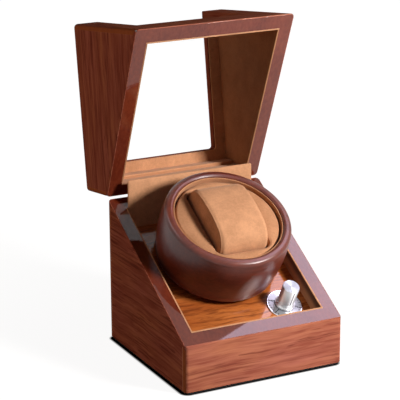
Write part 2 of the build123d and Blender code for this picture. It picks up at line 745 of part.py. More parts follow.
# Hinges: the lower leaf and the pin stay with the case, the upper leaf swings with the lid.
parts["case_hinge_leaves"] = group(both_sides(on_slope(case_leaf())))
hinge_pin = knuckle(-knuckle_end - 0.4, knuckle_end + 0.4, pin_radius)
parts["hinge_pins"] = group(both_sides(on_slope(hinge_pin)))
case_screws = [on_slope(place * screw(*hinge_screw)) for place in leaf_screw_places(0)]
parts["case_hinge_screws"] = group(both_sides_of_all(case_screws))
parts["lid_hinge_leaves"] = group([open_lid(leaf) for leaf in both_sides(on_slope(lid_leaf()))])
lid_screws = [on_slope(place * Rot(180, 0, 0) * screw(*hinge_screw)) for place in leaf_screw_places(seam_gap)]
parts["lid_hinge_screws"] = group([open_lid(piece) for piece in both_sides_of_all(lid_screws)])

os.makedirs("parts", exist_ok=True)
for name, piece in parts.items():
    export_step(piece, f"parts/{name}.step")
print(len(parts), "nodes")
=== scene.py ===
import json
import math

import bmesh
import bpy
from mathutils import Matrix, Vector


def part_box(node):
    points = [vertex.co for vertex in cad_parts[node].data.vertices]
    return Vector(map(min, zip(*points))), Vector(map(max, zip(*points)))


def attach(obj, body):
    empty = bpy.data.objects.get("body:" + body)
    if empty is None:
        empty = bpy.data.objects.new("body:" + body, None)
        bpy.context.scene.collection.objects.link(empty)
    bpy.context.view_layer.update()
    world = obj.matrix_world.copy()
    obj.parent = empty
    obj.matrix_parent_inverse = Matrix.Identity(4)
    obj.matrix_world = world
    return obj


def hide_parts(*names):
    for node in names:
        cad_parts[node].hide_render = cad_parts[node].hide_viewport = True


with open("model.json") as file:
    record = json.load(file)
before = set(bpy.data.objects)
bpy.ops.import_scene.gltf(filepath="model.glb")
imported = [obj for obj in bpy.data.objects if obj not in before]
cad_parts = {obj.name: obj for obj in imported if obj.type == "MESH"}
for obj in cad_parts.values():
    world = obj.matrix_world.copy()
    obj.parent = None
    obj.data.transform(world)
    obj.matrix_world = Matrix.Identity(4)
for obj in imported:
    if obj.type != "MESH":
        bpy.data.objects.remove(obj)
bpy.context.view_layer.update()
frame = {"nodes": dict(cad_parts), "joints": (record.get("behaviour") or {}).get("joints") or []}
scene = bpy.context.scene
MM = 0.001

# Camera: a long lens, a metre and a half away, from the front left and a little above.
# Its place and turn put the case's corners, seam and drum where the photograph has them.
camera_place = Vector((-676.38, -1283.04, 580.65)) * MM
camera_yaw = math.radians(27.005)
camera_pitch = math.radians(16.977)
camera_roll = math.radians(-0.2855)
camera_data = bpy.data.cameras.new("camera")
camera_data.sensor_width = 36.0
camera_data.lens = 159.44
camera = bpy.data.objects.new("camera", camera_data)
turn = Matrix.Rotation(-camera_yaw, 4, "Z") @ Matrix.Rotation(math.pi / 2 - camera_pitch, 4, "X")
camera.matrix_world = Matrix.Translation(camera_place) @ turn @ Matrix.Rotation(camera_roll, 4, "Z")
scene.collection.objects.link(camera)
scene.camera = camera
scene.view_settings.view_transform = "Standard"


# Studio: a white floor and backdrop that the camera sees in full, also through glass and mirrored in
# metal and polish. The floor keeps the case's shadow, and close round the case's foot it is painted
# black, a painted contact shadow.
def node(tree, kind, inputs=(), **settings):
    """Adds a shader node with its settings, and with the values or the links of its inputs."""
    made = tree.nodes.new("ShaderNode" + kind)
    for key, value in settings.items():
        setattr(made, key, value)
    for socket, value in dict(inputs).items():
        if isinstance(value, bpy.types.NodeSocket):
            tree.links.new(value, made.inputs[socket])
        else:
            made.inputs[socket].default_value = value
    return made


def math_node(tree, operation, first, second=0.0, third=0.0):
    """One step of arithmetic between sockets or numbers."""
    return node(tree, "Math", {0: first, 1: second, 2: third}, operation=operation).outputs[0]


def spread(tree, value, low, high, start=0.0, end=1.0):
    """A value's way from low to high, as a number from start to end."""
    return node(tree, "MapRange", {0: value, 1: low, 2: high, 3: start, 4: end}).outputs[0]


def blank_material(name):
    """An empty node material and its tree."""
    material = bpy.data.materials.new(name)
    material.use_nodes = True
    material.node_tree.nodes.clear()
    return material, material.node_tree


def shown_strength(tree):
    """One for what the camera sees, also through glass or mirrored in metal and polish, else nothing."""
    path = node(tree, "LightPath")
    clear = math_node(tree, "MAXIMUM", path.outputs["Is Camera Ray"], path.outputs["Is Transmission Ray"])
    return math_node(tree, "MAXIMUM", clear, path.outputs["Is Glossy Ray"])


floor_size = 12.0
foot_half, foot_shift = 69 * MM, 1.0 * MM
painted_shadow_reach, painted_shadow_end = 6.5 * MM, 8.6 * MM
floor_grey = 0.18
glow_near, glow_far = 0.93, 1.0
floor_material, tree = blank_material("white_floor")
spot = node(tree, "TexCoord").outputs["Object"]
away = node(tree, "VectorMath", {0: spot}, operation="LENGTH").outputs["Value"]
parts = node(tree, "SeparateXYZ", {0: spot})
squares = []
for value in (math_node(tree, "ADD", parts.outputs[0], foot_shift), parts.outputs[1]):
    past = math_node(tree, "SUBTRACT", math_node(tree, "ABSOLUTE", value), foot_half)
    past = math_node(tree, "MAXIMUM", past, 0.0)
    squares.append(math_node(tree, "MULTIPLY", past, past))
beyond = math_node(tree, "SQRT", math_node(tree, "ADD", *squares))
# Painted contact shadow: the floor's grey and glow fade to black within this reach of the foot.
lit = spread(tree, beyond, painted_shadow_reach, painted_shadow_end)
grey = math_node(tree, "MULTIPLY", lit, floor_grey)
pale_colour = node(tree, "CombineColor", {"Red": grey, "Green": grey, "Blue": grey})
pale = node(tree, "BsdfDiffuse", {"Color": pale_colour.outputs[0]})
level = math_node(tree, "MULTIPLY", lit, spread(tree, away, 0.15, 0.75, glow_near, glow_far))
strength = math_node(tree, "MULTIPLY", level, shown_strength(tree))
glow = node(tree, "Emission", {"Color": (1.0, 1.0, 1.0, 1.0), "Strength": strength})
both = node(tree, "AddShader", {0: pale.outputs[0], 1: glow.outputs[0]})
node(tree, "OutputMaterial", {"Surface": both.outputs[0]})
bm = bmesh.new()
bmesh.ops.create_grid(bm, x_segments=1, y_segments=1, size=floor_size / 2)
floor_mesh = bpy.data.meshes.new("floor")
bm.to_mesh(floor_mesh)
bm.free()
floor_mesh.materials.append(floor_material)
floor = bpy.data.objects.new("floor", floor_mesh)
scene.collection.objects.link(floor)

room_light = 0.08
world = bpy.data.worlds.new("studio")
scene.world = world
world.use_nodes = True
world.node_tree.nodes.clear()
tree = world.node_tree
diffuse = math_node(tree, "MULTIPLY", node(tree, "LightPath").outputs["Is Diffuse Ray"], room_light)
room = node(tree, "Background", {"Color": (1.0, 0.86, 0.76, 1.0), "Strength": diffuse})
white = node(tree, "Background", {"Color": (1.0, 1.0, 1.0, 1.0), "Strength": shown_strength(tree)})
both = node(tree, "AddShader", {0: room.outputs[0], 1: white.outputs[0]})
node(tree, "OutputWorld", {"Surface": both.outputs[0]})


# Lamps: the one at the front right lights the piece, low enough to leave the drum's shadow on the
# left rim. A panel overhead and a strip at the back left show only in polish, where the strip edges
# the drum. The warm fill at the left lights, and isn't mirrored.
def panel(name, corner, along, across, power, colour, lights=True, mirrored=True):
    """A soft lamp: a flat panel given by a corner and two sides, shining where along x across points."""
    along, across = Vector(along), Vector(across)
    lamp = bpy.data.lights.new(name, "AREA")
    lamp.shape = "RECTANGLE"
    lamp.size, lamp.size_y = across.length, along.length
    lamp.energy = power
    lamp.color = colour
    made = bpy.data.objects.new(name, lamp)
    back = across.cross(along).normalized()
    axes = Matrix((across.normalized(), along.normalized(), back)).transposed().to_4x4()
    made.matrix_world = Matrix.Translation(Vector(corner) + (along + across) / 2) @ axes
    made.visible_diffuse, made.visible_glossy = lights, mirrored
    scene.collection.objects.link(made)


panel("front_right", (0.500, -0.602, 0.395), (-0.150, -0.087, 0.0), (-0.039, 0.067, 0.153),
      9.3, (1.0, 0.96, 0.95))
panel("overhead", (0.162, -0.135, 0.600), (0.234, 0.274, 0.0), (0.166, -0.142, -0.100),
      1.5, (0.88, 0.78, 1.0), lights=False)
panel("back_left", (-0.42, 0.42, 0.95), (-0.16, -0.52, 0.0), (-0.045, 0.015, -0.025),
      1.5, (0.92, 0.90, 1.0), lights=False)
panel("left_fill", (-1.30, -0.10, -0.05), (0.20, 1.00, 0.0), (0.0, 0.0, 0.75),
      3.2, (1.0, 0.63, 0.44), mirrored=False)


# Case walls: four mitred boards faced with mahogany veneer whose grain runs level, satin lacquered.
# Solid lipping shows as a plain band along the corners, with a fine pale line beside it,
# a painted highlight.
joints = {joint["name"]: joint for joint in frame["joints"]}
case_half = 75 * MM


def object_point(tree, on_lid=False):
    """Where a point of the piece is, in metres. A piece of the lid is read as if the lid were shut."""
    place = node(tree, "TexCoord").outputs["Object"]
    if not on_lid:
        return place
    angle = math.radians(joints["lid_hinge"]["range_deg"][1])
    hinge = Vector(joints["lid_hinge"]["pos_m"])
    shift = hinge - Matrix.Rotation(angle, 3, "X") @ hinge
    shut = node(tree, "Mapping", {"Vector": place, "Location": shift, "Rotation": (angle, 0.0, 0.0)})
    return shut.outputs[0]


def blend_colours(tree, factor, first, second):
    """A mix of two colours, each a socket or three numbers."""
    made = node(tree, "Mix", {0: factor}, data_type="RGBA")
    for socket, value in ((6, first), (7, second)):
        if isinstance(value, bpy.types.NodeSocket):
            tree.links.new(value, made.inputs[socket])
        else:
            made.inputs[socket].default_value = (*value, 1.0)
    return made.outputs[2]


def noise(tree, place, scale, detail=2.0, roughness=0.5):
    """A noise value."""
    return node(tree, "TexNoise", {"Vector": place, "Scale": scale, "Detail": detail,
                                   "Roughness": roughness}).outputs["Fac"]


def bent(tree, place, scale, amount):
    """Points pushed about a little, so that straight grain wavers."""
    push = node(tree, "TexNoise", {"Vector": place, "Scale": scale, "Detail": 1.0}).outputs["Color"]
    pushed = node(tree, "VectorMath", {0: push, 1: (amount, amount, amount), 2: place},
                  operation="MULTIPLY_ADD")
    return pushed.outputs[0]


def drawn_out(tree, place, along, stretch, shift=(0.0, 0.0, 0.0)):
    """Points squeezed along the grain, so that what a texture makes of them is long that way."""
    squeeze = [1.0 / stretch if axis == along else 1.0 for axis in "XYZ"]
    return node(tree, "Mapping", {"Vector": place, "Location": shift, "Scale": squeeze}).outputs[0]


def near_edge(tree, value, reach):
    """One within reach of the case's outer faces across an axis, else nothing, with a soft border."""
    border = 0.12 * MM
    depth = math_node(tree, "SUBTRACT", case_half, math_node(tree, "ABSOLUTE", value))
    return spread(tree, depth, reach - border, reach + border, 1.0, 0.0)


def finish(tree, colour, roughness, height=None, depth=0.1 * MM, strength=0.5, output=True, **constants):
    """A finish of a colour and a roughness, with a bump where a height is given."""
    inputs = {"Base Color": colour, "Roughness": roughness}
    inputs.update({name.replace("_", " "): value for name, value in constants.items()})
    if height is not None:
        bump = node(tree, "Bump", {"Height": height, "Strength": strength, "Distance": depth})
        inputs["Normal"] = inputs["Coat Normal"] = bump.outputs[0]
    shader = node(tree, "BsdfPrincipled", inputs).outputs[0]
    if output:
        node(tree, "OutputMaterial", {"Surface": shader})
    return shader


def toned(tone, colour):
    """A colour made lighter or darker."""
    return [tone * value for value in colour]


corner_band, painted_highlight_width = 4.6 * MM, 0.6 * MM


def veneer_shader(tree, place, along, shift, corner_axis="", tone=1.0, highlight_width=painted_highlight_width, output=True):
    """Mahogany veneer with its grain along one axis, and with plain lipping at the corners across another."""
    wavy = bent(tree, bent(tree, place, 9.0, 9 * MM), 40.0, 2.2 * MM)
    fine = drawn_out(tree, wavy, along, 60.0, shift)
    lines = noise(tree, fine, 680.0, 2.0, 0.5)
    broad = noise(tree, drawn_out(tree, wavy, along, 10.0, shift), 190.0, 3.0, 0.55)
    mask = noise(tree, drawn_out(tree, wavy, along, 5.0, shift), 60.0, 1.0)
    warm = noise(tree, drawn_out(tree, place, along, 3.0, shift), 45.0, 2.0)
    light = blend_colours(tree, spread(tree, warm, 0.35, 0.65), toned(tone, (0.47, 0.150, 0.102)),
                          toned(tone, (0.50, 0.172, 0.090)))
    body = blend_colours(tree, spread(tree, broad, 0.36, 0.66), light, toned(tone, (0.32, 0.085, 0.052)))
    drawn = spread(tree, mask, 0.34, 0.60, 0.20, 1.0)
    dark_line = math_node(tree, "MULTIPLY", spread(tree, lines, 0.55, 0.62), drawn)
    colour = blend_colours(tree, math_node(tree, "MULTIPLY", dark_line, 0.62), body,
                           toned(tone, (0.150, 0.036, 0.024)))
    pale_line = spread(tree, lines, 0.44, 0.34, 0.0, 0.30)
    colour = blend_colours(tree, pale_line, colour, toned(tone, (0.60, 0.235, 0.135)))
    if corner_axis:
        across = node(tree, "SeparateXYZ", {0: place}).outputs["XYZ".index(corner_axis)]
        plain = blend_colours(tree, broad, toned(tone, (0.50, 0.160, 0.062)),
                              toned(tone, (0.38, 0.110, 0.042)))
        # The pale line beside the corner band is a painted highlight.
        painted_highlight = toned(tone, (0.80, 0.40, 0.25))
        banded = blend_colours(tree, near_edge(tree, across, corner_band), painted_highlight, plain)
        colour = blend_colours(tree, near_edge(tree, across, corner_band + highlight_width), colour, banded)
    height = math_node(tree, "SUBTRACT", 1.0, math_node(tree, "MULTIPLY", dark_line, 0.8))
    return finish(tree, colour, 0.40, height, 0.03 * MM, 0.3, output, Specular_IOR_Level=0.0)


wall_inside = 68 * MM


def veneer(name, along, shift, corner_axis="", tone=1.0, on_lid=False, wrapped=False):
    """A material of veneer. The lid's corners have no painted highlight line; a wrapped wall is suede inside.
    """
    material, tree = blank_material(name)
    place = object_point(tree, on_lid)
    highlight_width = 0.0 if on_lid else painted_highlight_width
    shader = veneer_shader(tree, place, along, shift, corner_axis, tone, highlight_width, not wrapped)
    if wrapped:
        inside = math_node(tree, "LESS_THAN", node(tree, "SeparateXYZ", {0: place}).outputs[1], wall_inside)
        cloth = finish(tree, (0.50, 0.240, 0.120, 1.0), 0.92, output=False, Specular_IOR_Level=0.1)
        mixed = node(tree, "MixShader", {0: inside, 1: shader, 2: cloth}).outputs[0]
        node(tree, "OutputMaterial", {"Surface": mixed})
    return material


def dress(material, *names):
    """Gives CAD nodes their material."""
    for name in names:
        frame["nodes"][name].data.materials.clear()
        frame["nodes"][name].data.materials.append(material)


# Each face's tone is partly the veneer's own variation and partly painted shade: faces that the lamps light
# less are darker.
dress(veneer("veneer_front", "X", (0.3, 0.0, 0.1), tone=1.03), "case_front")
dress(veneer("veneer_left", "Y", (0.1, 0.7, 0.4), "Y", 0.90), "case_left_side")
dress(veneer("veneer_right", "Y", (0.9, 0.2, 0.6), "Y", 0.90), "case_right_side")
dress(veneer("veneer_back", "X", (0.5, 0.3, 0.8), tone=0.95), "case_back")


# Rim lipping: strips of solid mahogany glued along the cut edges of the case and of the lid, mitred
# and rounded over. The rim is polished to a gloss that mirrors the lamps, and falls off to its edge.
def lacquered_shader(tree, place, along, light, dark, height=None, output=True, coat_roughness=0.035):
    """Solid mahogany under clear gloss lacquer, with a quiet grain."""
    wavy = bent(tree, place, 20.0, 6 * MM)
    grain = noise(tree, drawn_out(tree, wavy, along, 14.0, (0.2, 0.1, 0.3)), 420.0, 3.0, 0.6)
    cloud = noise(tree, drawn_out(tree, place, along, 3.0), 40.0, 2.0)
    mixed = math_node(tree, "MULTIPLY_ADD", grain, 0.55, math_node(tree, "MULTIPLY", cloud, 0.45))
    colour = blend_colours(tree, spread(tree, mixed, 0.36, 0.62), light, dark)
    return finish(tree, colour, 0.45, height, 1.0, 1.0, output, Specular_IOR_Level=0.0, Coat_Weight=1.0,
                  Coat_Roughness=coat_roughness, Coat_IOR=1.5)


face_reach = 0.7 * MM
rim_crown, crown_from = 1.65, 60 * MM


def lipping(name, light, dark, on_lid=False):
    """The lipping's gloss on the rim, and veneer where a point lies in the outer faces of the walls.
    Along the case's front the veneer also paints a thin highlight on the rim's edge.
    """
    material, tree = blank_material(name)
    place = object_point(tree, on_lid)
    parts = node(tree, "SeparateXYZ", {0: place})
    beside = near_edge(tree, parts.outputs[0], face_reach)
    # On the case the front mask reaches past the wall's face onto the rim's top, so a strip of satin veneer
    # there paints the lacquer's edge highlight.
    front_face_and_highlight = near_edge(tree, parts.outputs[1], face_reach if on_lid else 1.3 * MM)
    edge = math_node(tree, "MAXIMUM", *[math_node(tree, "ABSOLUTE", parts.outputs[axis]) for axis in (0, 1)])
    out = math_node(tree, "SUBTRACT", edge, crown_from)
    crown = math_node(tree, "MULTIPLY", math_node(tree, "MULTIPLY", out, out), -rim_crown)
    gloss = lacquered_shader(tree, place, "Y", light, dark, crown, output=False)
    side_face = veneer_shader(tree, place, "Y", (0.1, 0.7, 0.4), output=False)
    front_face = veneer_shader(tree, place, "X", (0.3, 0.0, 0.1), output=False)
    mixed = node(tree, "MixShader", {0: beside, 1: gloss, 2: side_face}).outputs[0]
    mixed = node(tree, "MixShader", {0: front_face_and_highlight, 1: mixed, 2: front_face}).outputs[0]
    node(tree, "OutputMaterial", {"Surface": mixed})
    return material


dress(lipping("lipping_case", (0.17, 0.028, 0.010), (0.11, 0.016, 0.006)), "case_rim_lipping")
dress(lipping("lipping_lid", (0.20, 0.036, 0.014), (0.13, 0.020, 0.008), on_lid=True), "lid_rim_lipping")


# Base felt: a square of black needled felt, cut a little smaller than the case and glued under it,
# so that the piece stands soft on a table.
def fibre(name, colour, tuft, scale, depth):
    """A dull cloth of short fibres."""
    material, tree = blank_material(name)
    fuzz = noise(tree, object_point(tree), scale, 4.0, 0.7)
    finish(tree, blend_colours(tree, spread(tree, fuzz, 0.3, 0.75), colour, tuft), 0.95, fuzz, depth, 0.8,
           Sheen_Weight=0.1, Sheen_Roughness=0.5, Specular_IOR_Level=0.1)
    return material


dress(fibre("black_felt", (0.012, 0.013, 0.014), (0.035, 0.037, 0.040), 1600.0, 0.4 * MM), "base_felt")


# Bottom board and battens: birch plywood and beech strips, sanded but never lacquered. The board
# is held up to the walls by four brass screws, and the battens are glued to them under the deck.
def bare_wood(name, light, dark, along):
    """Sanded wood with no finish on it."""
    material, tree = blank_material(name)
    value = noise(tree, drawn_out(tree, object_point(tree), along, 14.0, (0.4, 0.2, 0.1)), 260.0, 4.0, 0.6)
    grained = blend_colours(tree, spread(tree, value, 0.3, 0.75), light, dark)
    finish(tree, grained, 0.72, value, 0.05 * MM, 0.4)
    return material


def metal(name, colour, roughness, wear=0.06, anisotropic=0.0, map_name=None):
    """A metal whose polish varies a little. Spun metal is brushed round, along its turn map."""
    material, tree = blank_material(name)
    value = noise(tree, object_point(tree), 220.0, 3.0, 0.6)
    rough = spread(tree, value, 0.3, 0.7, roughness - wear / 2, roughness + wear / 2)
    inputs = {"Base Color": (*colour, 1.0), "Roughness": rough, "Metallic": 1.0, "Anisotropic": anisotropic,
              "Anisotropic Rotation": 0.25}
    if map_name:
        inputs["Tangent"] = node(tree, "Tangent", {}, direction_type="UV_MAP", uv_map=map_name).outputs[0]
    node(tree, "OutputMaterial", {"Surface": node(tree, "BsdfPrincipled", inputs).outputs[0]})
    return material


brass = metal("brass", (0.80, 0.56, 0.22), 0.26)
dress(bare_wood("birch_ply", (0.66, 0.50, 0.32), (0.48, 0.33, 0.19), "X"), "bottom_board")
dress(bare_wood("beech_strip", (0.60, 0.42, 0.27), (0.45, 0.29, 0.17), "Y"), "deck_battens")
dress(brass, "bottom_screws")


# Deck: a veneered panel on the battens, its lively striped grain running across under thick
# clear gloss. It is the brightest wood of the piece, and mirrors the overhead lamp beside the knob.
# It lies square to the drum's axis, and gives the lean of all that stands on it.
drum_axis = Vector(joints["drum_spin"]["axis"])
lean = math.atan2(-drum_axis.y, drum_axis.z)
deck_material, tree = blank_material("deck_veneer")
level = node(tree, "Mapping", {"Vector": object_point(tree), "Rotation": (-lean, 0.0, 0.0)}).outputs[0]
wavy = bent(tree, bent(tree, level, 12.0, 9 * MM), 60.0, 2.5 * MM)
streaks = noise(tree, drawn_out(tree, wavy, "X", 13.0, (0.6, 0.2, 0.0)), 430.0, 3.0, 0.6)
hairs = noise(tree, drawn_out(tree, wavy, "X", 26.0, (0.1, 0.5, 0.0)), 900.0, 2.0, 0.6)
broad = noise(tree, drawn_out(tree, wavy, "X", 6.0, (0.3, 0.3, 0.0)), 70.0, 2.0)
body = blend_colours(tree, spread(tree, broad, 0.32, 0.68), (0.52, 0.155, 0.034), (0.36, 0.090, 0.018))
streaked = blend_colours(tree, spread(tree, streaks, 0.48, 0.66, 0.0, 0.70), body, (0.110, 0.022, 0.006))
colour = blend_colours(tree, spread(tree, hairs, 0.52, 0.68, 0.0, 0.5), streaked, (0.13, 0.026, 0.007))
finish(tree, colour, 0.42, noise(tree, level, 140.0, 1.0), 0.01 * MM, 0.1, Specular_IOR_Level=0.0,
       Coat_Weight=0.85, Coat_Roughness=0.03, Coat_IOR=1.5)
dress(deck_material, "deck")


# Suede linings: thin boards wrapped in tan suede, glued round the walls above the deck and
# inside the lid. The nap is brushed this way and that, so its tone drifts.
def suede(name, light, dark, shaded_below=None):
    """Brushed suede, between two tones. Under their top edge the linings of the case take painted shade."""
    material, tree = blank_material(name)
    place = object_point(tree)
    brushed = noise(tree, bent(tree, place, 60.0, 6 * MM), 55.0, 3.0, 0.6)
    nap = noise(tree, place, 1100.0, 3.0, 0.65)
    speck = noise(tree, place, 420.0, 2.0, 0.6)
    fine = math_node(tree, "MULTIPLY_ADD", nap, 0.25, math_node(tree, "MULTIPLY", speck, 0.25))
    mixed = math_node(tree, "MULTIPLY_ADD", brushed, 0.5, fine)
    colour = blend_colours(tree, spread(tree, mixed, 0.38, 0.62), dark, light)
    # Painted shade: below the top edge the suede turns dark brown, darkest 4 mm down and less dark from 9 mm
    # down.
    if shaded_below:
        level = node(tree, "Mapping", {"Vector": place, "Rotation": (-lean, 0.0, 0.0)}).outputs[0]
        height = node(tree, "SeparateXYZ", {0: level}).outputs[2]
        under = spread(tree, height, shaded_below - 0.3 * MM, shaded_below, 1.0, 0.0)
        deepening = spread(tree, height, shaded_below - 9 * MM, shaded_below - 4 * MM)
        shade = blend_colours(tree, deepening, (0.42, 0.180, 0.075), (0.10, 0.036, 0.015))
        colour = blend_colours(tree, under, colour, shade)
    finish(tree, colour, 0.92, nap, 0.25 * MM, 0.6, Sheen_Weight=0.2, Sheen_Roughness=0.45,
           Sheen_Tint=(1.0, 0.82, 0.66, 1.0), Specular_IOR_Level=0.12)
    return material


tan_suede = suede("tan_suede", (0.68, 0.345, 0.180), (0.50, 0.248, 0.124))
front_rim = Vector((0.0, -75.0, 42.1)) * MM
lining_top = front_rim.dot(drum_axis) - 0.6 * MM
dress(suede("lining_suede", (0.68, 0.345, 0.180), (0.50, 0.248, 0.124), lining_top), "case_linings")
dress(tan_suede, "pane_retainers", "lid_front_lining", "lid_back_lining", "back_lip_board", "watch_cushion")
# The lid's side linings are a darker copy of the tan suede, painted shade for inner walls that the lamps
# don't reach.
dress(suede("painted_shade_suede", (0.47, 0.225, 0.108), (0.34, 0.155, 0.068)), "lid_side_linings")


# Lip board: the thin board behind the deck that covers the hinges. It is padded with a little
# wadding under its suede, so its face swells and its top edge and upper corners are soft.
def piece(name, bm, place, material, body, sharp=None):
    """A finished piece: its mesh set in place, shaded smooth and fixed to its body."""
    bmesh.ops.recalc_face_normals(bm, faces=bm.faces)
    mesh = bpy.data.meshes.new(name)
    bm.to_mesh(mesh)
    bm.free()
    mesh.transform(place)
    mesh.shade_smooth()
    if sharp:
        mesh.set_sharp_from_angle(angle=math.radians(sharp))
    mesh.materials.append(material)
    made = bpy.data.objects.new(name, mesh)
    scene.collection.objects.link(made)
    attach(made, body)
    return made


def rounded(corners):
    """A closed outline, in millimetres, round corners that are given as across, up and radius."""
    steps = 6
    points = []
    for index, (across, up, radius) in enumerate(corners):
        here = Vector((across, up))
        if not radius:
            points.append(here)
            continue
        before = (Vector(corners[index - 1][:2]) - here).normalized()
        after = (Vector(corners[(index + 1) % len(corners)][:2]) - here).normalized()
        half = before.angle(after) / 2
        centre = here + (before + after).normalized() * radius / math.sin(half)
        start, end = -before.orthogonal(), after.orthogonal()
        start, end = [way if way.dot(before + after) < 0 else -way for way in (start, end)]
        points += [centre + start.slerp(end, step / steps) * radius for step in range(steps + 1)]
    return points


def lofted(bm, rings, ends="capped"):
    """Joins closed rings of points one after another. Both ends are capped, joined too, or left open."""
    verts = [[bm.verts.new(point) for point in ring] for ring in rings]
    for low, high in zip(verts, verts[1:] + verts[:1] if ends == "joined" else verts[1:]):
        for index in range(len(low)):
            after = (index + 1) % len(low)
            bm.faces.new((low[index], low[after], high[after], high[index]))
    if ends == "capped":
        bm.faces.new(list(reversed(verts[0])))
        bm.faces.new(verts[-1])
    return verts


lip_low, lip_high = (corner / MM for corner in map(Vector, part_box("back_lip_board")))
lip_thick = lip_high.y - lip_low.y
lip_corner, least_corner = 1.6, 0.5
corner_gap = 4


def lip_outline(inset):
    """The board's outline, closer to its middle by an inset, with points also along its straight sides."""
    half, foot, top = lip_high.x - inset, lip_low.z, lip_high.z - inset
    corner = max(lip_corner - inset, least_corner)
    inner, under = half - corner_gap, top - corner_gap
    way = [step / 30 for step in range(30)]
    run = [(-half + 2 * half * share, foot, 0.0) for share in way]
    run += [(half, foot + (under - foot) * share, 0.0) for share in way] + [(half, top, corner)]
    run += [(inner - 2 * inner * share, top, 0.0) for share in way] + [(-half, top, corner)]
    run += [(-half, under + (foot - under) * share, 0.0) for share in way]
    return rounded(run)


def lip_ring(inset, forward):
    """The outline at its share of the board's thickness in front of the back face."""
    back = lip_high.y - forward * lip_thick
    return [Vector((point.x, back, point.y)) * MM for point in lip_outline(inset)]


upright = Matrix.Identity(4)
swell = [(0.0, 0.0), (0.0, 0.45), (0.12, 0.72), (0.45, 0.95), (1.1, 1.10), (3.0, 1.30), (7.0, 1.42),
         (14.0, 1.48)]
bm = bmesh.new()
lofted(bm, [lip_ring(inset, forward) for inset, forward in swell])
lip_board = piece("lip_board_padding", bm, upright, tan_suede, "case", 50)
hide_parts("back_lip_board")


# Hinges: two brass butt hinges let into the rims, each leaf held by two countersunk brass
# screws, with a steel pin through the knuckles.
steel = metal("steel", (0.62, 0.62, 0.63), 0.30)
dress(brass, "case_hinge_leaves", "lid_hinge_leaves", "case_hinge_screws", "lid_hinge_screws")
dress(steel, "hinge_pins")


# Lid: walls, rails and the stiles of the window frame in the same veneer, glued up as a box, with the
# back wall's inside wrapped in suede over the hinges. The grain is read with the lid shut, so that it
# runs from front to back on the sides.
# The tones are partly the veneer's own variation and partly painted shade on the lid's less lit rails, stiles
# and back.
dress(veneer("veneer_lid_left", "Y", (0.2, 0.5, 0.9), "Y", 1.00, on_lid=True), "lid_left_side")
dress(veneer("veneer_lid_right", "Y", (0.7, 0.1, 0.3), "Y", 1.00, on_lid=True), "lid_right_side")
dress(veneer("veneer_lid_back", "X", (0.8, 0.6, 0.2), "X", 0.85, on_lid=True, wrapped=True), "lid_back")
dress(veneer("veneer_lid_rails", "X", (0.4, 0.9, 0.5), "X", 0.85, on_lid=True),
      "lid_front_rail", "lid_top_rail")
dress(veneer("veneer_top_stiles", "Y", (0.1, 0.3, 0.7), tone=0.85, on_lid=True), "lid_top_stiles")
dress(veneer("veneer_front_stiles", "Z", (0.6, 0.4, 0.1), tone=0.85, on_lid=True), "lid_front_stiles")


# Window: a top pane and a front pane of clear acrylic, glued edge to edge behind the frame and
# held by suede-faced strips. It lets all light through to what stands behind.
pane_material, tree = blank_material("clear_acrylic")
path = node(tree, "LightPath")
unbent = math_node(tree, "MAXIMUM", path.outputs["Is Shadow Ray"], path.outputs["Is Diffuse Ray"])
clear = node(tree, "BsdfPrincipled", {"Base Color": (1.0, 1.0, 1.0, 1.0), "Roughness": 0.0, "IOR": 1.16,
                                      "Transmission Weight": 1.0}).outputs[0]
through = node(tree, "BsdfTransparent", {"Color": (1.0, 1.0, 1.0, 1.0)}).outputs[0]
seen = node(tree, "MixShader", {0: unbent, 1: clear, 2: through}).outputs[0]
node(tree, "OutputMaterial", {"Surface": seen})
dress(pane_material, "top_pane", "front_pane")


# Drum shell: turned from mahogany with a full rolled lip, stained dark and sprayed with a satin
# gloss that softens the lamps. A suede-faced ring is pressed into its mouth, just under the lip.
def turned(outline, segments=160):
    """A closed outline of radius and height, in millimetres, spun about the axis, with a turn map."""
    bm = bmesh.new()
    verts = [bm.verts.new((point[0] * MM, 0.0, point[1] * MM)) for point in outline]
    edges = [bm.edges.new(pair) for pair in zip(verts, verts[1:] + verts[:1])]
    bmesh.ops.spin(bm, geom=verts + edges, cent=(0, 0, 0), axis=(0, 0, 1), dvec=(0, 0, 0), angle=math.tau,
                   steps=segments, use_merge=True)
    bmesh.ops.remove_doubles(bm, verts=bm.verts, dist=0.001 * MM)
    layer = bm.loops.layers.uv.new("turn")
    for face in bm.faces:
        middle = face.calc_center_median()
        here = math.atan2(middle.y, middle.x)
        for loop in face.loops:
            spot = loop.vert.co
            angle = math.atan2(spot.y, spot.x) if spot.xy.length > 0.01 * MM else here
            angle = here + (angle - here + math.pi) % math.tau - math.pi
            loop[layer].uv = (angle / math.tau, (spot.xy.length + spot.z) / (100 * MM))
    return bm


def arc_through(start, middle, end, steps):
    """Points of the arc through three places, without the first."""
    (ax, ay), (bx, by), (cx, cy) = start, middle, end
    twice = 2 * (ax * (by - cy) + bx * (cy - ay) + cx * (ay - by))
    first, second, third = (x * x + y * y for x, y in (start, middle, end))
    centre = Vector(((first * (by - cy) + second * (cy - ay) + third * (ay - by)) / twice,
                     (first * (cx - bx) + second * (ax - cx) + third * (bx - ax)) / twice))
    before, after = Vector(start) - centre, Vector(end) - centre
    return [centre + before.slerp(after, step / steps) * before.length for step in range(1, steps + 1)]


